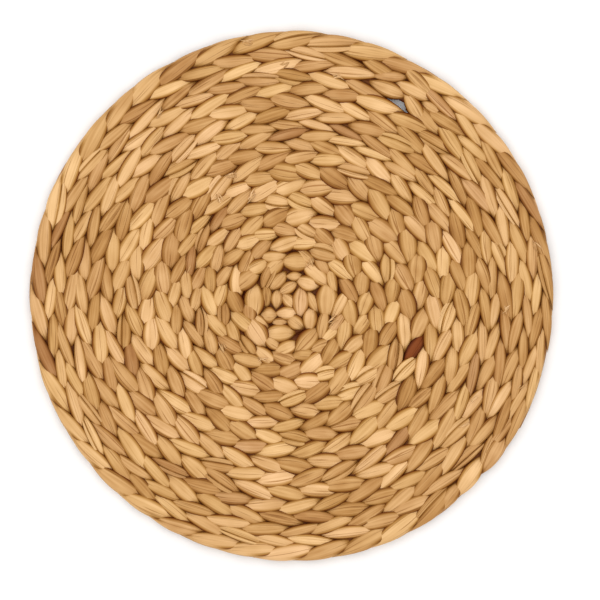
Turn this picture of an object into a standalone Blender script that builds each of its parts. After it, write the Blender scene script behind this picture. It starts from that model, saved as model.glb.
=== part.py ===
"""A round table charger of plaited water hyacinth.

One long three-strand plait lies in a flat coil, round against round, and is stitched edge to
edge. Its leaves, the lengths of strand that show between two crossings, stand up in chevrons
all along the coil. The underside is pressed flat. +Z is up and the origin is on the table
under the middle. Bearings run clockwise as seen from above, from +X, and so does the coil.
"""

import math
import random

import bmesh
import bpy
import numpy as np
from mathutils import Vector
from mathutils.geometry import delaunay_2d_cdt

MM = 0.001

# Radius of the seam inside each round of the plait, at eight bearings, in millimetres
SEAM_MM = (
    # east, south east, south, south west, west, north west, north, north east
    (None, None, 5.0, 8.5, 11.5, 15.5, 16.5, 15.5),
    (16.0, 17.5, 19.5, 24.5, 27.0, 27.5, 26.5, 24.5),
    (25.5, 30.5, 34.0, 36.5, 43.5, 43.0, 41.0, 41.0),
    (42.5, 44.5, 50.5, 53.5, 57.5, 58.0, 57.0, 58.5),
    (60.0, 63.0, 68.5, 68.0, 68.5, 69.5, 78.5, 78.0),
    (76.5, 82.0, 83.0, 86.0, 88.5, 88.0, 95.5, 96.5),
    (94.5, 98.5, 99.5, 102.5, 105.5, 104.5, 103.5, 107.5),
    (110.5, 115.0, 118.5, 119.0, 121.5, 122.5, 122.5, 121.5),
    (123.0, 130.0, 134.5, 135.5, 137.5, 136.0, 136.0, 137.0),
    (136.5, 145.0, 149.5, 149.0, 149.5, 150.5, 151.5, 152.0),
    (152.5, 159.5, 161.0, 161.0, 161.5, 163.0, 166.0, 163.5),
    (161.5, 162.0, None, None, None, None, None, None),
)
RIM_MM = (163.0, 162.5, 163.0, 163.0, 164.0, 165.5, 167.5, 165.5)
BEARINGS = len(RIM_MM)
COIL_START = 2 / BEARINGS
COIL_END = 11 + 0.5 / BEARINGS
TAIL_TAPER = 0.06

# The plait: a column is one line of leaves, half of the plait's width
COLUMN = 8.4 * MM
COLUMN_SHARE = 0.62
NARROW_COLUMN = 3.2 * MM
INNER_PITCH = 10.0 * MM
PITCH_GROWTH = 0.085
SAMPLES_A_TURN = 720
LEAVES_IN_TAIL = 2

# Heights above the table
CREST = 10.0 * MM
CREST_SPREAD = 0.7 * MM
LEAF_GROOVE = 8.2 * MM
MIDDLE_GROOVE = 7.4 * MM
SEAM_GROOVE = 6.8 * MM
RIM_TOP = 6.4 * MM
RIM_MIDDLE = 3.6 * MM

# Points of a leaf: leaf pitches along the plait, and columns away from the seam
CREST_POINTS = ((0.08, 0.68), (0.52, 0.36))
GROOVE_MIDDLE = (-0.20, 0.52)
MIDDLE_END_AT = -0.25
SEAM_END_AT = 0.90
GROOVE_END_AT = 0.40
HALF_PITCH = 0.5

# The rim bulges at each leaf and is drawn in above and below its widest line
SCALLOP = 0.7 * MM
SCALLOP_STEPS = 4
RIM_SHOULDER = 0.9 * MM
RIM_UNDERCUT = 2.6 * MM

# The one opening, at a seam: its corners along the coil and outwards, in millimetres
GAP_BEARING = 298 / 360
GAP_RADIUS = 139.7 * MM
GAP_CORNERS_MM = ((-8.0, -0.7), (1.2, 4.6), (7.1, -3.5))
GAP_REACH = 14.0 * MM
GAP_CLEARANCE = 1.1 * MM

SAME_PLACE = 0.001 * MM
STRAW = (0.72, 0.45, 0.19, 1.0)
ROUGHNESS = 0.62


def clear_scene():
    for old in list(bpy.data.objects):
        bpy.data.objects.remove(old)


def smooth_step(value, start, end):
    share = min(max((value - start) / (end - start), 0.0), 1.0)
    return share * share * (3 - 2 * share)


def cubic_through(before, start, end, after, share):
    """The Catmull-Rom curve between start and end."""
    slope_in = (end - before) / 2
    slope_out = (after - start) / 2
    rise = end - start
    bend = slope_in + slope_out - 2 * rise
    return start + share * (slope_in + share * (rise - slope_in - bend + share * bend))


def seam_radius(turns):
    """Radius of the seam after this many turns from east."""
    knots = [value for row in SEAM_MM for value in row if value is not None]
    place = min(max((turns - COIL_START) * BEARINGS, 0.0), len(knots) - 1.0)
    low = min(int(place), len(knots) - 2)
    around = [knots[min(max(low + step, 0), len(knots) - 1)] for step in (-1, 0, 1, 2)]
    return cubic_through(*around, place - low) * MM


def rim_radius(turns):
    place = (turns % 1.0) * BEARINGS
    low = int(place)
    around = [RIM_MM[(low + step) % BEARINGS] for step in (-1, 0, 1, 2)]
    return cubic_through(*around, place - low) * MM


def middle_outside(turns):
    """The middle of the round outside this seam, or the rim."""
    own = seam_radius(turns)
    spacing = seam_radius(turns + 1) - own
    between = own + min(max(spacing / 2, COLUMN), COLUMN_SHARE * spacing)
    outermost = smooth_step(turns, COIL_END - 1 - TAIL_TAPER, COIL_END - 1)
    return between + (rim_radius(turns) - between) * outermost


def middle_inside(turns):
    """The middle of the round inside this seam, or near the middle of the coil."""
    own = seam_radius(turns)
    if turns < COIL_START + 1:
        return own - min(COLUMN, 0.8 * own)
    return middle_outside(turns - 1)


def leaves_along_coil():
    """Turns, and how many leaf pitches the plait has run by then."""
    turns = np.arange(COIL_START, COIL_END, 1 / SAMPLES_A_TURN)
    radii = np.array([seam_radius(t) for t in turns])
    leaves_a_turn = 2 * math.pi * radii / (INNER_PITCH + PITCH_GROWTH * radii)
    run = np.concatenate([[0.0], np.cumsum(leaves_a_turn[:-1]) / SAMPLES_A_TURN])
    return turns, run


def on_disc(radius, turns):
    angle = -2 * math.pi * turns
    return Vector((radius * math.cos(angle), radius * math.sin(angle)))


def gap_outline():
    """The corners of the opening."""
    middle = on_disc(GAP_RADIUS, GAP_BEARING)
    outwards = middle.normalized()
    along = Vector((outwards.y, -outwards.x))
    return [middle + (along * a + outwards * b) * MM for a, b in GAP_CORNERS_MM]


def in_loop(point, loop):
    inside = False
    for a, b in zip(loop, loop[1:] + loop[:1]):
        if (a.y > point.y) != (b.y > point.y):
            if point.x < a.x + (point.y - a.y) / (b.y - a.y) * (b.x - a.x):
                inside = not inside
    return inside


def near_loop(point, loop, clearance):
    for a, b in zip(loop, loop[1:] + loop[:1]):
        side = b - a
        share = min(max((point - a).dot(side) / side.length_squared, 0.0), 1.0)
        if (point - a - side * share).length < clearance:
            return True
    return False


class Relief:
    """Points of the top face with their heights, and the lines that join them."""

    def __init__(self):
        self.turns, self.run = leaves_along_coil()
        self.gap = gap_outline()
        self.places = []
        self.heights = []
        self.lines = []
        self.uneven = random.Random(7)

    def turns_at(self, leaf):
        return float(np.interp(leaf, self.run, self.turns))

    def add(self, place, height):
        self.places.append(place)
        self.heights.append(height)
        return len(self.places) - 1

    def add_on_plait(self, leaf, side, columns, height):
        """A point on one side of the seam, unless its column is hidden or it is at the gap."""
        turns = self.turns_at(leaf)
        own = seam_radius(turns)
        edge = middle_outside(turns) if side > 0 else middle_inside(turns)
        place = on_disc(own + columns * (edge - own), turns)
        if abs(edge - own) < NARROW_COLUMN and columns < 1:
            return None
        if in_loop(place, self.gap) or near_loop(place, self.gap, GAP_CLEARANCE):
            return None
        return self.add(place, height)

    def add_crest(self, leaf, side, columns):
        height = CREST - self.uneven.random() * CREST_SPREAD
        return self.add_on_plait(leaf, side, columns, height)

    def join(self, points):
        for a, b in zip(points, points[1:]):
            if a is not None and b is not None:
                self.lines.append((a, b))


def add_seam(relief, leaves):
    """The groove between two rounds, with the ends of their leaves. Points by leaf."""
    line = {}
    for leaf in range(leaves):
        for step in (GROOVE_END_AT, SEAM_END_AT):
            line[leaf + step] = relief.add_on_plait(leaf + step, 1, 0.0, SEAM_GROOVE)
    relief.join(list(line.values()))
    return line


def add_plait_middle(relief, leaves):
    """The groove along the plait's middle, where one leaf dives under the next."""
    line = []
    for leaf in range(leaves):
        for step in (MIDDLE_END_AT, MIDDLE_END_AT + HALF_PITCH):
            if relief.turns_at(leaf + step) < COIL_END - 1:
                line.append(relief.add_on_plait(leaf + step, 1, 1.0, MIDDLE_GROOVE))
    relief.join(line)


def add_leaves(relief):
    """Columns of leaves on both sides of the seam, each leaf a crest between two grooves."""
    leaves = int(relief.run[-1]) - LEAVES_IN_TAIL
    seam = add_seam(relief, leaves)
    add_plait_middle(relief, leaves)
    for leaf in range(leaves):
        for side, lag in ((1, 0.0), (-1, HALF_PITCH)):
            start = leaf + lag
            crest = [relief.add_crest(start + along, side, away) for along, away in CREST_POINTS]
            along, away = GROOVE_MIDDLE
            groove = relief.add_on_plait(start + along, side, away, LEAF_GROOVE)
            relief.join([*crest, seam.get(start + SEAM_END_AT)])
            relief.join([groove, seam.get(start + GROOVE_END_AT)])


def add_middle(relief):
    """The start of the plait, tucked under the first leaves."""
    relief.add(Vector((0.0, 0.0)), CREST - CREST_SPREAD)


def rim_outline(relief):
    """The outline, which bulges at each leaf of the outermost round."""
    first = float(np.interp(COIL_END - 1, relief.turns, relief.run))
    leaves = round(relief.run[-1] - first)
    outline = []
    for step in range(leaves * SCALLOP_STEPS):
        turns = COIL_END - 1 + step / (leaves * SCALLOP_STEPS)
        bulge = -SCALLOP * math.cos(2 * math.pi * step / SCALLOP_STEPS)
        outline.append(on_disc(rim_radius(turns) - RIM_SHOULDER + bulge, turns))
    return outline


def top_face(relief, rim):
    """The relief as triangles inside the rim, open at the gap. A bmesh."""
    rim_ids = [relief.add(place, RIM_TOP) for place in rim]
    gap_ids = [relief.add(place, SEAM_GROOVE) for place in relief.gap]
    for loop in (rim_ids, gap_ids):
        relief.join([*loop, loop[0]])
    inside_faces_only = 1
    places, _, faces, origins, _, _ = delaunay_2d_cdt(
        relief.places, relief.lines, [rim_ids[::-1]], inside_faces_only, SAME_PLACE
    )
    mesh = bmesh.new()
    made = []
    for place, origin in zip(places, origins):
        height = relief.heights[origin[0]] if origin else LEAF_GROOVE
        made.append(mesh.verts.new((place.x, place.y, height)))
    for face in faces:
        middle = sum((places[i] for i in face), Vector((0.0, 0.0))) / len(face)
        if not in_loop(middle, relief.gap):
            mesh.faces.new([made[i] for i in face])
    loose = [vert for vert in mesh.verts if not vert.link_faces]
    bmesh.ops.delete(mesh, geom=loose, context="VERTS")
    return mesh


def extrude_to(mesh, edges, move):
    """Extrudes these edges and moves the new points. The new edges."""
    made = bmesh.ops.extrude_edge_only(mesh, edges=edges)["geom"]
    for vert in [item for item in made if isinstance(item, bmesh.types.BMVert)]:
        vert.co = move(vert.co)
    return [item for item in made if isinstance(item, bmesh.types.BMEdge)]


def drawn_in(point, distance, height):
    flat = Vector((point.x, point.y))
    shifted = flat - flat.normalized() * distance
    return Vector((shifted.x, shifted.y, height))


def close_below(mesh):
    """The rim's rounded side, the gap's wall and the flat underside."""
    gap_middle = on_disc(GAP_RADIUS, GAP_BEARING)
    at_gap = []
    at_rim = []
    for edge in [edge for edge in mesh.edges if edge.is_boundary]:
        distance = (edge.verts[0].co.to_2d() - gap_middle).length
        (at_gap if distance < GAP_REACH else at_rim).append(edge)
    side = extrude_to(mesh, at_rim, lambda co: drawn_in(co, -RIM_SHOULDER, RIM_MIDDLE))
    foot = extrude_to(mesh, side, lambda co: drawn_in(co, RIM_UNDERCUT, 0.0))
    wall = extrude_to(mesh, at_gap, lambda co: Vector((co.x, co.y, 0.0)))
    bmesh.ops.triangle_fill(mesh, edges=foot + wall, use_beauty=True)
    bmesh.ops.recalc_face_normals(mesh, faces=mesh.faces)


def centre_on_origin(mesh):
    low = Vector([min(vert.co[axis] for vert in mesh.verts) for axis in range(2)])
    high = Vector([max(vert.co[axis] for vert in mesh.verts) for axis in range(2)])
    middle = (low + high) / 2
    bmesh.ops.translate(mesh, verts=mesh.verts, vec=(-middle.x, -middle.y, 0.0))


def straw_material():
    material = bpy.data.materials.new("water_hyacinth")
    material.use_nodes = True
    shader = material.node_tree.nodes["Principled BSDF"]
    shader.inputs["Base Color"].default_value = STRAW
    shader.inputs["Roughness"].default_value = ROUGHNESS
    shader.inputs["Metallic"].default_value = 0.0
    return material


def make_coiled_plait(collection):
    relief = Relief()
    add_leaves(relief)
    add_middle(relief)
    mesh = top_face(relief, rim_outline(relief))
    close_below(mesh)
    centre_on_origin(mesh)
    data = bpy.data.meshes.new("coiled_plait")
    mesh.to_mesh(data)
    mesh.free()
    data.materials.append(straw_material())
    plait = bpy.data.objects.new("coiled_plait", data)
    collection.objects.link(plait)


def main():
    clear_scene()
    collection = bpy.data.collections.new("water_hyacinth_charger")
    bpy.context.scene.collection.children.link(collection)
    make_coiled_plait(collection)


main()
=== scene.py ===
import math

import bpy
import numpy as np
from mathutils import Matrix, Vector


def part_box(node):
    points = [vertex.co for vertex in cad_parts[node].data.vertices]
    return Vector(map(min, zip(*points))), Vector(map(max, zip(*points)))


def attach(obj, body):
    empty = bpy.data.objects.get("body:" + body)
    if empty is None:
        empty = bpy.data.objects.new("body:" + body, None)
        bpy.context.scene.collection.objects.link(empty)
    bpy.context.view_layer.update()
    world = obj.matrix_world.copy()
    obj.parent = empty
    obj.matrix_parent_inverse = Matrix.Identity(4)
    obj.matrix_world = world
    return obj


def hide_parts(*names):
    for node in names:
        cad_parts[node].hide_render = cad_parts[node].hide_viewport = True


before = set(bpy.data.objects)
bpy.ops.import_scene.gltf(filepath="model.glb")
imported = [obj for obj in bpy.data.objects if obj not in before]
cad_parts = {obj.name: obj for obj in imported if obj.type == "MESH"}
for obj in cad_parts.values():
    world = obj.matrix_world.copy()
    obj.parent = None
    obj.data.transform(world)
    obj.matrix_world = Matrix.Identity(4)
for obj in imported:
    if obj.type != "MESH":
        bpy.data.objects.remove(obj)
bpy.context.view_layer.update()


# The coil
# One long plait is wound clockwise from the middle, round against round, and stitched edge to
# edge. Its rounds are uneven, as the plait is hand made and is pulled tight by hand.
MM = 0.001
COIL_MM = (
    # radius of the plait's centre line at eight bearings, clockwise from the right
    (8.5, 10.0, 12.2, 16.5, 19.2, 21.5, 21.5, 20.0),
    (20.8, 24.0, 26.8, 30.5, 35.2, 35.2, 33.8, 32.8),
    (34.0, 37.5, 42.2, 45.0, 50.5, 50.5, 49.0, 49.8),
    (51.2, 53.8, 59.5, 61.5, 65.0, 66.0, 67.8, 68.2),
    (68.2, 72.5, 75.8, 77.0, 78.5, 79.5, 87.0, 87.2),
    (85.5, 90.2, 91.2, 94.2, 97.0, 97.0, 101.5, 103.0),
    (102.5, 106.8, 109.0, 110.8, 113.5, 113.5, 113.5, 115.5),
    (118.5, 122.5, 126.5, 127.2, 129.5, 129.2, 129.2, 129.5),
    (131.0, 137.5, 142.0, 142.2, 143.5, 143.2, 143.8, 144.8),
    (144.8, 152.2, 155.2, 155.0, 155.5, 156.8, 158.8, 157.8),
    (157.0, 159.6, None, None, None, None, None, None),
)
RIM_MM = (163.0, 162.5, 163.0, 163.0, 164.0, 165.5, 167.5, 165.5)
EAST, SOUTH, WEST, NORTH = 0, 2, 4, 6
BEARINGS = len(RIM_MM)
MIDDLE = np.array([RIM_MM[WEST] - RIM_MM[EAST], RIM_MM[SOUTH] - RIM_MM[NORTH]]) * MM / 2
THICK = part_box("coiled_plait")[1][2]
# turns of the coil
COIL_START = 0.0
COIL_END = 10 + 0.9 / BEARINGS
LAST_ROUND = COIL_END - 1
RIM_BEGINS = (LAST_ROUND - 0.03, LAST_ROUND + 0.01)
STEPS_A_TURN = 2000
# half the plait's width, and the share of the way to the middle that its first round takes
COLUMN = 8.4 * MM
START_SHARE = 0.45
# the leaves on one side of the plait are further apart where the rounds are larger
INNER_PITCH = 10.0 * MM
PITCH_GROWTH = 0.085


def smooth_through(knots, place):
    """The smooth curve through evenly spaced knots, at these places."""
    knots = np.asarray(knots, float)
    low = np.clip(np.floor(place).astype(int), 0, len(knots) - 2)
    share = place - low
    before, start, end, after = (
        knots[np.clip(low + step, 0, len(knots) - 1)] for step in (-1, 0, 1, 2)
    )
    slope_in = (end - before) / 2
    slope_out = (after - start) / 2
    rise = end - start
    bend = slope_in + slope_out - 2 * rise
    return start + share * (slope_in + share * (rise - slope_in - bend + share * bend))


def smooth_step(value, start, end):
    share = np.clip((value - start) / (end - start), 0.0, 1.0)
    return share * share * (3 - 2 * share)


def centre_radius(turns):
    knots = [value for row in COIL_MM for value in row if value is not None]
    just_before_end = len(knots) - 1.01
    return smooth_through(knots, np.clip((turns - COIL_START) * BEARINGS, 0, just_before_end)) * MM


def rim_radius(turns):
    around = RIM_MM[-1:] + RIM_MM + RIM_MM[:2]
    return smooth_through(around, (turns % 1.0) * BEARINGS + 1) * MM


fine_turns = np.arange(COIL_START, COIL_END, 1 / STEPS_A_TURN)
fine_radii = centre_radius(fine_turns)
leaves_a_turn = 2 * math.pi * fine_radii / (INNER_PITCH + PITCH_GROWTH * fine_radii)
leaf_run = np.concatenate([[0.0], np.cumsum(leaves_a_turn[:-1]) / STEPS_A_TURN])
LEAVES = leaf_run[-1]


def on_mat(leaf, out):
    """The place this many leaves along the plait and this far out from its centre line."""
    turns = np.interp(leaf, leaf_run, fine_turns)
    radius = centre_radius(turns) + out
    bearing = -2 * math.pi * turns
    return np.stack([np.cos(bearing) * radius, np.sin(bearing) * radius], -1) + MIDDLE


def half_room(turns, side):
    """From the plait's centre line to its seam, or to the rim, on this side."""
    own = centre_radius(turns)
    if side < 0:
        return (own - centre_radius(turns - 1)) / 2 if turns > 1 else min(START_SHARE * own, COLUMN)
    seam = (own + centre_radius(min(turns + 1, COIL_END))) / 2
    on_rim = smooth_step(turns, *RIM_BEGINS)
    return seam + (rim_radius(turns) - seam) * on_rim - own


# The leaves of the plait
# The plait is of three dried, flattened stalks. Each stalk folds over at the plait's edge, shows
# as a pointed leaf on its way to the middle, and dives there under the stalk from the far edge.
LEAF_HALF_WIDTH = 5.5 * MM
LEAF_HALF_HEIGHT = 2.5 * MM
LEAF_HEIGHT = 7.2 * MM
LEAN = math.radians(11)
# the ends of a leaf: leaves along the plait, and shares of the way from its middle to its seam
FOLD_END = (0.82, 0.92)
RIM_FOLD_END = (0.90, 0.98)
DIVE_END = (-1.02, -0.03)
# both ends of a leaf dip under its neighbours, over these shares of its length
FOLD_DIP = 2.2 * MM
DIVE_DIP = 2.6 * MM
FOLD_DIPS_TO = 0.40
DIVE_DIPS_FROM = 0.62
SHORT_LEAF = 9.0 * MM
# a leaf's outline is pointed and a little wider near its dive, and its back is flattened
POINTEDNESS = 1.22
WIDER_AT_DIVE = 0.16
FLATNESS = 0.7
# creases run lengthwise: their number, places across the leaf, depths and width, as shares of it
CREASES = 3
CREASE_PLACES = (-0.7, 0.7)
CREASE_DEPTHS = (0.05, 0.30)
CREASE_WIDTH = 0.15
DEEPEST_CREASES = 0.5
# how much each leaf may differ from the next, in leaves, as shares, or in mm
LENGTH_VARIES = 0.09
PLACE_VARIES = 0.09
WIDTH_VARIES = 0.14
HEIGHT_VARIES = 0.4 * MM
BOW = 0.6 * MM
BOW_VARIES = 0.5 * MM
NARROWEST, WIDEST = 0.62, 1.15
STAINED_NARROWER = 0.25
# some leaves are split lengthwise: each strip's middle and half width, as shares of the leaf's
SPLIT_SHARE = 0.10
SPLIT_STRIPS = ((-0.27, 0.73), (0.65, 0.37))
STRIP_TONE = 0.2
# a leaf gets painted shade near its sides and ends, as shares of it, and deep down, but not on the
# rim
SHADED_SIDES = (0.70, 0.93)
SHADED_ENDS = (0.85, 0.96)
SHADED_DEPTHS = (0.8 * MM, 3.3 * MM)
UNSHADED_RIM = (-2.4 * MM, -0.6 * MM)
RIM_EASE = 0.7 * MM
# one seam gapes: the corners of its opening, right of and above the mat's middle
GAP_MM = ((59.1, 123.8), (69.7, 124.4), (70.9, 114.4))
RINGS = 20
AROUND = 16
# the points round a leaf stand closer together near its thin edges
CROWDING = 0.2
ANGLES = np.arange(AROUND) * 2 * math.pi / AROUND
ANGLES = ANGLES - CROWDING * np.sin(2 * ANGLES)
# each leaf has its own part of the grain, this far along and aside from the last one's
GRAIN_ASIDE, GRAIN_ALONG = 1.37, 2.11
MERGED = 1e-6
uneven = np.random.default_rng(11)


def from_middle(points):
    """Each point's way from the mat's middle, how far it is, and how far the rim is there."""
    off = points[..., :2] - MIDDLE
    rim = rim_radius(-np.arctan2(off[..., 1], off[..., 0]) / (2 * math.pi))
    return off, np.linalg.norm(off, axis=-1), rim


def press_to_rim(points):
    """Points drawn in softly to the mat's rim, as the outermost leaves are pulled flat there."""
    off, radius, rim = from_middle(points)
    rim = rim + RIM_EASE
    pressed = rim - RIM_EASE * np.logaddexp(0.0, (rim - radius) / RIM_EASE)
    points[..., :2] = MIDDLE + off * (pressed / radius)[..., None]
    return points


def clear_of_gap(points):
    """The leaf moved aside where it would cover the gaping seam."""
    corners = np.array(GAP_MM) * MM
    sides = np.roll(corners, -1, axis=0) - corners
    away = np.stack([-sides[:, 1], sides[:, 0]], -1) / np.linalg.norm(sides, axis=1)[:, None]
    away = away * np.sign(np.einsum("ij,ij->i", away, corners - corners.mean(axis=0)))[:, None]
    beyond = np.array([(points[..., :2] - corner) @ way for corner, way in zip(corners, away)])
    if np.any(np.all(beyond < 0, axis=0)):
        short = -beyond.reshape(len(corners), -1).min(axis=1)
        nearest = np.argmin(short)
        points[..., :2] += away[nearest] * short[nearest]
    return points


def leaf_body(half_length, half_width, half_height, bow=0.0, creases=()):
    """Rings of points of a leaf lying along x, from its fold to its dive."""
    along = np.linspace(0, 1, RINGS)[:, None]
    angle = ANGLES[None, :]
    full = np.clip(4 * along * (1 - along), 0, 1)
    swell = full**POINTEDNESS * (1 + WIDER_AT_DIVE * (along - 0.5))
    aside = np.cos(angle)
    proud = np.sign(np.sin(angle)) * np.abs(np.sin(angle)) ** FLATNESS
    grooves = np.zeros_like(aside)
    for place, depth in creases:
        grooves = grooves + depth * np.exp(-(((aside - place) / CREASE_WIDTH) ** 2))
    x = half_length * (2 * along - 1) + 0 * aside
    y = half_width * swell * aside + bow * full
    z = half_height * full**0.5 * proud * (1 - np.clip(grooves, 0, DEEPEST_CREASES))
    dip = FOLD_DIP * (1 - smooth_step(along, 0.0, FOLD_DIPS_TO))
    dip = dip + DIVE_DIP * smooth_step(along, DIVE_DIPS_FROM, 1.0)
    z = z - dip * min(1.0, half_length / SHORT_LEAF)
    return np.stack([x, y, z], -1)


def lay_leaf(points, fold, dive, lean, height, upside):
    """The leaf between these two places, leaning about its length. Upside is -1 below."""
    heading = (dive - fold) / np.linalg.norm(dive - fold)
    side_way = np.array([-heading[1], heading[0]])
    y = points[..., 1] * math.cos(lean) - points[..., 2] * math.sin(lean)
    z = points[..., 1] * math.sin(lean) + points[..., 2] * math.cos(lean)
    flat = (fold + dive) / 2 + points[..., :1] * heading + y[..., None] * side_way
    z = THICK / 2 + upside * (height - THICK / 2 + z)
    return np.concatenate([flat, np.maximum(z, 0.0)[..., None]], -1)


def make_leaf(middle, side, upside, shade):
    """One leaf of the plait, or the two strips of a split one: their points and shades."""
    wide, long, high, leaned, shifted, bowed = uneven.uniform(-1, 1, 6)
    turns = float(np.interp(middle, leaf_run, fine_turns))
    room = half_room(turns, side)
    long = LENGTH_VARIES * long
    shift = PLACE_VARIES * shifted
    fold_end = RIM_FOLD_END if side > 0 and turns > LAST_ROUND else FOLD_END
    fold = on_mat(middle + upside * (fold_end[0] + long + shift), side * room * fold_end[1])
    dive = on_mat(middle + upside * (DIVE_END[0] - long + shift), side * room * DIVE_END[1])
    half_length = np.linalg.norm(dive - fold) / 2
    half_width = LEAF_HALF_WIDTH * min(max(room / COLUMN, NARROWEST), WIDEST)
    half_width *= (1 + WIDTH_VARIES * wide) * (1 - STAINED_NARROWER * shade[2])
    count = int(uneven.integers(0, CREASES + 1))
    creases = [(uneven.uniform(*CREASE_PLACES), uneven.uniform(*CREASE_DEPTHS)) for _ in range(count)]
    bow = -side * upside * (BOW + BOW_VARIES * bowed)
    height = LEAF_HEIGHT + HEIGHT_VARIES * high
    split = upside > 0 and uneven.uniform() < SPLIT_SHARE
    narrow_side = uneven.choice((-1, 1))
    strips = []
    for aside, share in SPLIT_STRIPS if split else ((0.0, 1.0),):
        strip_bow = bow + narrow_side * aside * half_width
        body = leaf_body(half_length, share * half_width, LEAF_HALF_HEIGHT, strip_bow, creases)
        points = lay_leaf(body, fold, dive, LEAN * leaned, height, upside)
        strip_shade = [shade[0] + STRIP_TONE * aside, *shade[1:]]
        strips.append((clear_of_gap(press_to_rim(points)), strip_shade))
    return strips


def painted_shade_amount(bodies, shade_edges):
    """How much painted shade each point gets, at the edges of a leaf and in the seams between leaves.
    """
    count, rings, around, _ = bodies.shape
    along = np.tile(np.repeat(np.linspace(0, 1, rings), around), count)
    aside = np.tile(np.abs(np.cos(ANGLES)), count * rings)
    ends = np.abs(2 * along - 1)
    # painted shade where a leaf's sides and ends sink under its neighbours, then deep down in the
    # seams
    shaded_edge = np.maximum(smooth_step(aside, *SHADED_SIDES), smooth_step(ends, *SHADED_ENDS)) * shade_edges
    points = bodies.reshape(-1, 3)
    shaded_depth = 1 - smooth_step(np.abs(points[:, 2] - THICK / 2), *SHADED_DEPTHS)
    _, radius, rim = from_middle(points)
    inside_rim = 1 - smooth_step(radius - rim, *UNSHADED_RIM)
    return np.maximum(shaded_edge, shaded_depth) * inside_rim


def leaves_mesh(name, leaves, shade_edges):
    """All these leaves as one piece, each a closed spindle with its tone, its painted shade and its
    own grain.
    """
    piece = bpy.data.objects.new(name, bpy.data.meshes.new(name))
    bpy.context.scene.collection.objects.link(piece)
    bodies = np.array([points for points, _ in leaves])
    count, rings, around, _ = bodies.shape
    ring, step = np.meshgrid(np.arange(rings - 1), np.arange(around), indexing="ij")
    after = (step + 1) % around
    quads = np.stack([
        ring * around + step, ring * around + after,
        (ring + 1) * around + after, (ring + 1) * around + step,
    ], -1).reshape(-1, 4)
    faces = (quads[None] + (np.arange(count) * rings * around)[:, None, None]).reshape(-1, 4)
    mesh = piece.data
    mesh.from_pydata(bodies.reshape(-1, 3).tolist(), [], faces.tolist())
    colours = np.repeat(np.array([shade for _, shade in leaves]), rings * around, axis=0)
    # the tone, tint and stain are the leaf's own colour, and the fourth channel is its painted shade
    colours = np.concatenate([colours, painted_shade_amount(bodies, shade_edges)[:, None]], -1).astype(np.float32)
    shades = mesh.color_attributes.new("leaf_shade", "FLOAT_COLOR", "POINT")
    shades.data.foreach_set("color", colours.reshape(-1))
    corner_step = np.tile(np.stack([step, step + 1, step + 1, step], -1).reshape(-1), count) / around
    corner_ring = np.tile(np.stack([ring, ring, ring + 1, ring + 1], -1).reshape(-1), count) / rings
    which = np.repeat(np.arange(count), len(quads) * 4)
    grain = np.stack([corner_step + which * GRAIN_ASIDE, corner_ring + which * GRAIN_ALONG], -1)
    mesh.uv_layers.new(name="grain").data.foreach_set("uv", grain.reshape(-1).astype(np.float32))
    bpy.ops.object.select_all(action="DESELECT")
    bpy.context.view_layer.objects.active = piece
    piece.select_set(True)
    bpy.ops.object.mode_set(mode="EDIT")
    bpy.ops.mesh.select_all(action="SELECT")
    bpy.ops.mesh.remove_doubles(threshold=MERGED)
    bpy.ops.mesh.normals_make_consistent(inside=False)
    bpy.ops.object.mode_set(mode="OBJECT")
    bpy.ops.object.shade_smooth()
    return piece


# Straw's finish
# The dried skin is satin, with fine lengthwise fibres and cracks. It is pale gold, and each leaf
# has its own tone. Painted shade darkens it to deep gold and brown at its edges and in the seams.
class Value:
    """A shader socket that Python's operators work on."""

    def __init__(self, tree, socket):
        self.tree = tree
        self.socket = socket

    def math(self, operation, *others):
        return node(self.tree, "ShaderNodeMath", {"operation": operation}, self, *others)

    def __add__(self, other):
        return self.math("ADD", other)

    def __radd__(self, other):
        return self.math("ADD", other)

    def __sub__(self, other):
        return self.math("SUBTRACT", other)

    def __rsub__(self, other):
        return (self * -1.0).math("ADD", other)

    def __mul__(self, other):
        return self.math("MULTIPLY", other)

    def __rmul__(self, other):
        return self.math("MULTIPLY", other)


def node(tree, kind, settings, *values, out=0, **named):
    """A node of this kind, with its settings, then values or links for its inputs."""
    made = tree.nodes.new(kind)
    for setting, value in settings.items():
        if setting == "stops":
            ramp = made.color_ramp
            while len(ramp.elements) < len(value):
                ramp.elements.new(0.5)
            for element, (position, colour) in zip(ramp.elements, value):
                element.position = position
                element.color = (*colour, 1.0)
        else:
            setattr(made, setting, value)
    sockets = [(made.inputs[place], value) for place, value in enumerate(values)]
    sockets += [(made.inputs[key.replace("_", " ")], value) for key, value in named.items()]
    for socket, value in sockets:
        if value is None:
            continue
        if isinstance(value, Value):
            tree.links.new(value.socket, socket)
        else:
            socket.default_value = value
    return Value(tree, made.outputs[out])


def blend(tree, share, first, second, way="MIX"):
    settings = {"data_type": "RGBA", "blend_type": way}
    return node(tree, "ShaderNodeMix", settings, share, *[None] * 5, first, second, out=2)


def multiply(tree, share, first, second):
    return blend(tree, share, first, second, "MULTIPLY")


def lengthwise(tree, uv, scale, detail, shift=None):
    """Noise that is drawn out along the leaves by this scale across and along them."""
    place = node(tree, "ShaderNodeMapping", {}, uv, shift, None, scale)
    settings = {"noise_dimensions": "2D"}
    return node(tree, "ShaderNodeTexNoise", settings, place, Scale=1.0, Detail=detail)


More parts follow.
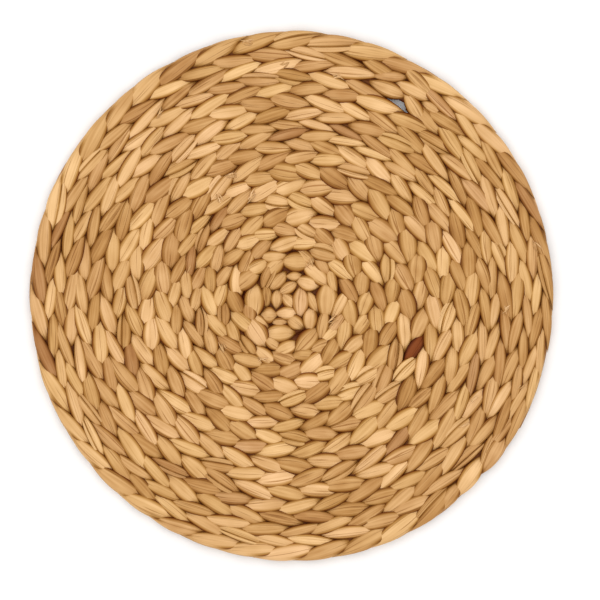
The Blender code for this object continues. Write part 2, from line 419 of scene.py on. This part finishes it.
def straw_material():
    material = bpy.data.materials.new("water_hyacinth_straw")
    material.use_nodes = True
    tree = material.node_tree
    shader = tree.nodes["Principled BSDF"]
    shade = node(tree, "ShaderNodeAttribute", {"attribute_name": "leaf_shade"})
    painted_shade = Value(tree, shade.socket.node.outputs["Alpha"])
    shade = node(tree, "ShaderNodeSeparateColor", {}, shade)
    tone, tint, stain = (Value(tree, shade.socket.node.outputs[part]) for part in range(3))
    uv = node(tree, "ShaderNodeUVMap", {})
    fibre = lengthwise(tree, uv, (34.0, 1.1, 1.0), 4.0)
    patch = lengthwise(tree, uv, (3.0, 1.6, 1.0), 2.0)
    crack = lengthwise(tree, uv, (40.0, 0.9, 1.0), 1.0, (7.3, 2.1, 0.0))
    crack = node(tree, "ShaderNodeMapRange", {}, crack, 0.66, 0.73)

    amount = 0.27 + tone * 0.50 + (fibre - 0.5) * 0.5 + (patch - 0.5) * 0.55
    brown_to_pale = (
        (0.0, (0.285, 0.125, 0.034)),
        (0.25, (0.435, 0.225, 0.076)),
        (0.55, (0.605, 0.365, 0.160)),
        (1.0, (0.840, 0.560, 0.305)),
    )
    olive = (0.97, 0.93, 0.80, 1.0)
    pink = (0.99, 0.93, 0.94, 1.0)
    red_brown = (0.18, 0.035, 0.003, 1.0)
    crack_brown = (0.50, 0.32, 0.12, 1.0)
    painted_shade_gold = (0.90, 0.80, 0.35, 1.0)
    painted_shade_brown = (0.25, 0.09, 0.004, 1.0)
    straw = node(tree, "ShaderNodeValToRGB", {"stops": brown_to_pale}, amount)
    straw = multiply(tree, 1.0, straw, blend(tree, tint, olive, pink))
    straw = blend(tree, stain, straw, red_brown)
    straw = multiply(tree, crack * 0.7, straw, crack_brown)
    # painted shade: the straw turns a deeper gold, then brown, at leaf edges and in the seams
    straw = multiply(tree, painted_shade * 1.5, straw, painted_shade_gold)
    straw = multiply(tree, painted_shade, straw, painted_shade_brown)
    tree.links.new(straw.socket, shader.inputs["Base Color"])
    shader.inputs["Roughness"].default_value = 0.55
    shader.inputs["Specular IOR Level"].default_value = 0.12
    bumps = fibre + patch * 0.3 - crack * 0.8
    bump = node(tree, "ShaderNodeBump", {}, Strength=0.6, Distance=0.4 * MM, Height=bumps)
    tree.links.new(bump.socket, shader.inputs["Normal"])
    return material


straw = straw_material()


# The start of the plait
# At the middle the three stalks are folded over each other before the plait runs true, so the
# first leaves lie every way.
START_LEAVES = (
    # x mm, y mm, length mm, width mm, way in degrees, lift mm, tone, tint, stain
    (-1.6, -3.1, 12.0, 7.0, -45, 0.4, 0.55, 0.5, 0.0),
    (5.6, -3.8, 17.0, 9.5, 88, 0.6, 0.70, 1.0, 0.0),
    (-2.8, -10.6, 13.0, 7.5, 4, 0.4, 0.85, 0.6, 0.0),
    (-14.1, -11.9, 8.8, 8.8, 0, 0.3, 0.60, 0.5, 0.0),
    (-9.1, -1.9, 11.0, 7.0, 85, 0.0, 0.40, 0.5, 0.0),
    (-15.6, 0.0, 14.0, 6.0, 92, -0.2, 0.25, 0.0, 0.0),
    (-8.4, 9.4, 14.0, 7.5, 48, 0.1, 0.45, 0.4, 0.0),
    (-11.1, 18.1, 15.6, 8.8, 42, 0.2, 0.60, 0.3, 0.0),
    (2.8, 21.3, 17.5, 10.6, -3, 0.1, 0.35, 0.2, 0.0),
    (1.6, 12.5, 9.0, 5.5, 5, 0.0, 0.40, 0.5, 0.0),
    (-2.2, 5.0, 12.0, 6.5, 32, 0.2, 0.60, 0.5, 0.0),
    (10.0, 8.1, 14.0, 8.5, -18, 0.3, 0.90, 0.5, 0.0),
    (15.1, 13.8, 20.0, 9.0, -40, 0.2, 0.85, 0.4, 0.0),
    (13.4, -3.8, 14.0, 6.0, -65, 0.0, 0.50, 0.4, 0.0),
    (22.0, -2.5, 21.0, 12.0, 86, 0.2, 0.65, 0.3, 0.0),
    (11.6, -14.4, 15.0, 8.0, 86, 0.1, 0.60, 0.6, 0.0),
    (19.7, -18.1, 19.0, 7.0, 80, 0.0, 0.50, 0.4, 0.0),
    (2.2, -16.3, 12.0, 8.0, -38, 0.0, 0.45, 0.4, 0.0),
    (-7.5, -23.1, 18.0, 10.0, 2, 0.2, 0.60, 0.3, 0.0),
    (-7.5, -16.3, 9.0, 5.0, 0, 0.0, 0.50, 0.6, 0.0),
    (-19.1, -16.3, 12.0, 6.0, -45, 0.0, 0.50, 0.5, 0.0),
    (-22.2, -22.5, 21.0, 12.0, -58, 0.2, 0.70, 0.7, 0.0),
    (-23.1, -3.1, 20.0, 11.0, 88, 0.2, 0.65, 0.3, 0.0),
    (-28.4, 10.0, 20.0, 10.0, 38, 0.1, 0.25, 0.4, 0.0),
    (9.6, -28.0, 20.0, 10.0, 48, 0.3, 0.35, 0.3, 0.0),
    (-3.6, -32.5, 15.0, 8.0, 25, 0.1, 0.80, 0.3, 0.0),
    (-12.0, -29.5, 12.0, 6.5, -35, 0.0, 0.45, 0.4, 0.0),
    (27.8, -17.8, 19.0, 6.0, 54, 0.0, 0.35, 0.9, 0.0),
    (30.2, -5.6, 19.0, 7.0, 62, 0.2, 0.90, 0.4, 0.0),
)
# a leaf's whole size, with what its neighbours hide, as a share of what shows
HIDDEN_LENGTH = 1.32
HIDDEN_WIDTH = 1.25


def placed_leaves(rows):
    """Leaves that don't follow the plait's run, above and below."""
    leaves = []
    for x, y, length, width, way, lift, *shade in rows:
        heading = np.array([math.cos(math.radians(way)), math.sin(math.radians(way))])
        half_length = length * HIDDEN_LENGTH * MM / 2
        place = np.array([x, y]) * MM
        for upside in (1, -1):
            body = leaf_body(half_length, width * HIDDEN_WIDTH * MM / 2, LEAF_HALF_HEIGHT)
            fold, dive = place - heading * half_length, place + heading * half_length
            lean = LEAN * uneven.uniform(-1, 1)
            points = lay_leaf(body, fold, dive, lean, LEAF_HEIGHT + lift * MM, upside)
            leaves.append((press_to_rim(points), shade))
    return leaves


# The plaited rounds
# The finished plait, from its start to its end, taken here in lengths of 27 leaves a side. The
# mat's underside is plaited as its top is, with the leaves slanting the other way.
GAP_LEAVES = (
    # the leaves that bound the gaping seam, in the columns of START_LEAVES
    (60.2, 129.2, 22.5, 8.6, -22, 0.2, 0.45, 0.5, 0.0),
    (76.6, 117.8, 22.0, 7.8, -58, 0.3, 0.65, 0.4, 0.0),
    (52.6, 119.8, 30.0, 9.0, -17, 0.8, 0.90, 0.3, 0.0),
    (61.3, 137.2, 21.0, 6.4, -4, 0.1, 0.35, 0.7, 0.0),
    (75.8, 128.2, 23.0, 8.0, -27, 0.3, 0.70, 0.4, 0.0),
    (79.2, 133.8, 25.0, 7.4, -46, 0.5, 0.65, 0.3, 0.0),
    (87.4, 117.6, 14.0, 6.0, -31, -0.3, 0.55, 0.5, 0.0),
)
END_LEAVES = (
    # the last leaves, where the plait's end is tucked under, in the columns of START_LEAVES
    (126.6, -98.0, 24.0, 10.0, 60, 0.3, 0.30, 0.7, 0.0),
    (122.6, -96.0, 23.0, 5.6, 68, 0.1, 0.35, 0.5, 0.0),
    (111.0, -112.8, 28.0, 9.4, 55, 0.2, 0.90, 0.3, 0.0),
    (99.0, -125.0, 21.0, 7.6, 52, 0.0, 0.35, 0.5, 0.0),
)
ODD_LEAVES = (
    # the leaves whose shade stands out from the rest: x mm, y mm, tone, tint, stain
    (77.8, -34.0, 0.10, 0.9, 0.95),
    (116.3, -49.0, 0.45, 0.6, 0.30),
    (-148.0, -38.0, 0.02, 0.8, 0.35),
    (-101.3, -36.3, 0.02, 0.7, 0.25),
    (31.3, 101.9, 0.05, 0.8, 0.25),
    (-4.7, 105.3, 0.05, 0.8, 0.25),
    (-42.2, 53.4, 0.05, 0.7, 0.20),
    (-68.1, 19.7, 0.05, 0.8, 0.25),
    (145.0, 54.7, 0.10, 0.7, 0.20),
    (-143.8, 41.6, 0.05, 0.7, 0.25),
    (-158.8, 11.9, 0.10, 0.8, 0.25),
    (60.9, -94.1, 0.05, 0.8, 0.25),
    (-90.3, 122.2, 0.10, 0.5, 0.05),
    (-90.9, 71.3, 0.10, 0.5, 0.10),
    (115.6, 60.6, 0.55, 1.0, 0.05),
    (98.4, 123.4, 0.50, 1.0, 0.05),
    (-23.8, -96.9, 0.55, 1.0, 0.05),
    (-79.4, -106.6, 0.20, 0.5, 0.20),
    (-38.4, -128.8, 0.20, 0.5, 0.20),
    (47.0, 118.0, 0.95, 0.3, 0.00),
    (82.0, -52.0, 0.90, 0.6, 0.00),
    (40.0, -40.0, 1.00, 0.2, 0.00),
)
PIECE_LEAVES = 27
PIECES = math.ceil(LEAVES / PIECE_LEAVES)
GAP_PIECE = 6
placed_rows = {0: START_LEAVES, GAP_PIECE: GAP_LEAVES, PIECES - 1: END_LEAVES}
# the leaves that follow the plait's run, and their room beside the placed ones
FIRST_LEAF = 1.2
LAST_LEAF = LEAVES - 0.4
BESIDE_PLACED = 3.3 * MM
# the middle of a leaf: leaves along the plait, and share of the way from its middle to its seam
LEAF_MIDDLE = (-0.12, 0.47)
PINKEST = 0.7


def leaf_place(leaf, side):
    turns = float(np.interp(leaf, leaf_run, fine_turns))
    return on_mat(leaf + LEAF_MIDDLE[0], side * half_room(turns, side) * LEAF_MIDDLE[1])


def finish_piece(name, leaves, shade_edges=True):
    piece = leaves_mesh(name, leaves, shade_edges)
    piece.data.materials.append(straw)
    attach(piece, "root")
    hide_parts("coiled_plait")


positions = []
for number in range(int(LEAVES) + 1):
    positions += [(number, 1), (number + 0.5, -1)]
positions = [position for position in positions if FIRST_LEAF <= position[0] <= LAST_LEAF]
places = np.array([leaf_place(*position) for position in positions])
placed = np.array([row[:4] for rows in placed_rows.values() for row in rows]) * MM
apart = np.linalg.norm(places[:, None] - placed[None, :, :2], axis=2)
clear = np.all(apart > placed[:, 3] / 2 + BESIDE_PLACED, axis=1)
positions = [position for position, kept in zip(positions, clear) if kept]
places = places[clear]
shades = [[uneven.uniform(0, 1), uneven.uniform(0, PINKEST), 0.0] for _ in positions]
for x, y, *odd_shade in ODD_LEAVES:
    nearest = np.argmin(np.linalg.norm(places - np.array([x, y]) * MM, axis=1))
    shades[nearest] = odd_shade
for count in range(PIECES):
    leaves = placed_leaves(placed_rows.get(count, ()))
    for (middle, side), shade in zip(positions, shades):
        if count * PIECE_LEAVES <= middle < (count + 1) * PIECE_LEAVES:
            leaves += make_leaf(middle, side, 1, shade)
            leaves += make_leaf(middle, side, -1, [*uneven.uniform(0, 1, 2), 0.0])
    finish_piece(f"plait_{count + 1:02d}", leaves)


# The knot at the start
# The plait's start is tied off with fibre cord, whose dark brown is painted shade. The knot is
# pressed flat and is hidden between the first leaves above and below.
KNOT_RADIUS = 24 * MM
# painted shade over the whole knot
KNOT_PAINTED_SHADE = 0.8
CORD_HALF_HEIGHT = 1.7 * MM
# the cord's dark brown is painted shade, as it shows only deep in the seams
CORD_SHADED_BROWN = [0.0, 0.3, 0.45]
bpy.ops.object.select_all(action="DESELECT")
bpy.ops.mesh.primitive_uv_sphere_add(segments=32, ring_count=12, radius=KNOT_RADIUS)
knot = bpy.context.object
knot.name = "start_knot"
knot.scale = (1.0, 1.0, CORD_HALF_HEIGHT / KNOT_RADIUS)
knot.location = (MIDDLE[0], MIDDLE[1], THICK / 2)
bpy.ops.object.transform_apply(location=True, rotation=True, scale=True)
bpy.ops.object.shade_smooth()
knot_shade = knot.data.color_attributes.new("leaf_shade", "FLOAT_COLOR", "POINT")
knot_shade.data.foreach_set("color", (CORD_SHADED_BROWN + [KNOT_PAINTED_SHADE]) * len(knot.data.vertices))
knot.data.uv_layers[0].name = "grain"
knot.data.materials.append(straw)
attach(knot, "root")
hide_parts("coiled_plait")


# The seam stitching
# The same cord runs between the rounds at half their depth and holds each round to the one
# inside it. It also runs inside the plait, under its crossings, and is narrower at the gap.
CORD_STEPS = 900
CORD_HALF_WIDTH = 3.0 * MM
INSIDE_HALF_WIDTH = 4.8 * MM
# turns of the coil: the gap's place, half its length, and where the cord is narrow near it
GAP_TURN = 7.829
GAP_HALF = 0.014
NARROW_NEAR_GAP = (0.008, 0.022)
PLAIT_END = COIL_END - 0.02


def cord_body(first_turn, last_turn, between):
    """Rings of points of a flat cord along the plait, or between it and the next round."""
    turns = np.linspace(first_turn, last_turn, CORD_STEPS)
    radius = centre_radius(turns)
    if between:
        radius = (radius + centre_radius(np.minimum(turns + 1, COIL_END))) / 2
        half_width = np.full(CORD_STEPS, CORD_HALF_WIDTH)
    else:
        from_gap = np.minimum(np.abs(turns - GAP_TURN), np.abs(turns - GAP_TURN - 1))
        roomy = smooth_step(from_gap, *NARROW_NEAR_GAP)
        half_width = CORD_HALF_WIDTH + (INSIDE_HALF_WIDTH - CORD_HALF_WIDTH) * roomy
    angle = ANGLES[None, :]
    ends = np.ones(CORD_STEPS)
    ends[[0, -1]] = 0.0
    out = radius[:, None] + (half_width * ends)[:, None] * np.cos(angle)
    bearing = -2 * math.pi * turns[:, None]
    z = THICK / 2 + CORD_HALF_HEIGHT * ends[:, None] * np.sin(angle)
    return np.stack([np.cos(bearing) * out + MIDDLE[0], np.sin(bearing) * out + MIDDLE[1], z], -1)


cords = [
    cord_body(COIL_START, GAP_TURN - GAP_HALF, True),
    cord_body(GAP_TURN + GAP_HALF, LAST_ROUND, True),
    cord_body(COIL_START, PLAIT_END, False),
]
# the cord is painted dark brown as the shade deep in the seams
finish_piece("seam_stitching", [(cord, CORD_SHADED_BROWN) for cord in cords], shade_edges=False)


# Loose fibres
# The dried skin has split where a stalk was pulled tight, and a few thin fibres of it stand up
# there and lie across the leaves.
FRAYED = (
    # x mm, y mm, way in degrees, fibres
    (-37.2, 75.6, 30, 4),
    (-44.7, 60.6, -40, 3),
    (-25.3, 61.9, 60, 4),
    (-64.7, 16.3, 80, 2),
    (134.1, -8.8, 70, 3),
    (115.3, -64.4, 20, 3),
    (141.6, -57.5, 60, 2),
    (107.2, -81.3, 50, 3),
    (29.1, 136.9, -10, 4),
    (-42.2, -31.3, -60, 3),
    (-17.2, -40.6, -20, 2),
    (11.6, 21.3, 80, 2),
    (25.9, -15.6, 40, 4),
    (-27.8, 158.1, 10, 3),
    (-5.3, 144.4, 30, 3),
    (153.4, 31.9, -70, 2),
    (-83.4, 113.1, 50, 3),
)
FIBRE_HALF_LENGTH = 4.4 * MM
FIBRE_LENGTH_VARIES = 1.4 * MM
FIBRE_HALF_WIDTH = 0.42 * MM
FIBRE_HALF_HEIGHT = 0.32 * MM
FIBRE_BOW = 1.6 * MM
FIBRE_HEIGHT = 9.8 * MM
FIBRES_FAN = 35
FIBRES_SPREAD_MM = 1.5
FIBRE_TONE, FIBRE_TONE_VARIES, FIBRE_TINT = 0.7, 0.6, 0.5
fibres = []
for x, y, way, number in FRAYED:
    for _ in range(number):
        long, turned, aside, away, bent = uneven.uniform(-1, 1, 5)
        angle = math.radians(way + FIBRES_FAN * turned)
        half_length = FIBRE_HALF_LENGTH + FIBRE_LENGTH_VARIES * long
        half = half_length * np.array([math.cos(angle), math.sin(angle)])
        place = np.array([x + FIBRES_SPREAD_MM * aside, y + FIBRES_SPREAD_MM * away]) * MM
        body = leaf_body(half_length, FIBRE_HALF_WIDTH, FIBRE_HALF_HEIGHT, FIBRE_BOW * bent)
        points = lay_leaf(body, place - half, place + half, 0.0, FIBRE_HEIGHT, 1)
        fibres.append((points, [FIBRE_TONE + FIBRE_TONE_VARIES * bent, FIBRE_TINT, 0.0]))
finish_piece("loose_fibres", fibres, shade_edges=False)


# The table
# A plain white table top. The mat lies flat on it, and its soft shadow falls there.
bpy.ops.object.select_all(action="DESELECT")
bpy.ops.mesh.primitive_plane_add(size=6.0, location=(0, 0, -0.5 * MM))
table = bpy.context.object
table.name = "table"
white = bpy.data.materials.new("white_table")
white.use_nodes = True
white.node_tree.nodes["Principled BSDF"].inputs["Base Color"].default_value = (0.88, 0.88, 0.88, 1)
white.node_tree.nodes["Principled BSDF"].inputs["Roughness"].default_value = 0.9
table.data.materials.append(white)


# The light and the camera
# White light from all round, with one large soft lamp nearly overhead, and a camera that looks
# straight down at the mat.
world = bpy.data.worlds.new("soft_light")
bpy.context.scene.world = world
world.use_nodes = True
world.node_tree.nodes["Background"].inputs["Color"].default_value = (1, 1, 1, 1)
world.node_tree.nodes["Background"].inputs["Strength"].default_value = 1.0

LAMP_X, LAMP_Y, LAMP_Z = -0.12, 0.15, 1.5
lamp = bpy.data.objects.new("large_softbox", bpy.data.lights.new("large_softbox", "AREA"))
lamp.data.size = 1.4
lamp.data.energy = 9
lamp.location = (LAMP_X, LAMP_Y, LAMP_Z)
lamp_tilt = math.atan2(math.hypot(LAMP_X, LAMP_Y), LAMP_Z)
lamp.rotation_euler = (lamp_tilt, 0, math.atan2(-LAMP_X, LAMP_Y))
bpy.context.scene.collection.objects.link(lamp)

# the picture is 600 pixels wide, and its middle is a few pixels right of and below the mat's
PIXEL = 0.625 * MM
PICTURE_PIXELS = 600
PIXELS_RIGHT, PIXELS_BELOW = 8.5, 4.0
CAMERA_HEIGHT = 2.4
SENSOR = 36.0
camera = bpy.data.objects.new("camera", bpy.data.cameras.new("camera"))
camera.data.sensor_width = SENSOR
camera.data.lens = SENSOR * (CAMERA_HEIGHT - THICK / 2) / (PICTURE_PIXELS * PIXEL)
camera.location = (PIXELS_RIGHT * PIXEL, -PIXELS_BELOW * PIXEL, CAMERA_HEIGHT)
bpy.context.scene.collection.objects.link(camera)
bpy.context.scene.camera = camera
bpy.context.scene.view_settings.view_transform = "Standard"
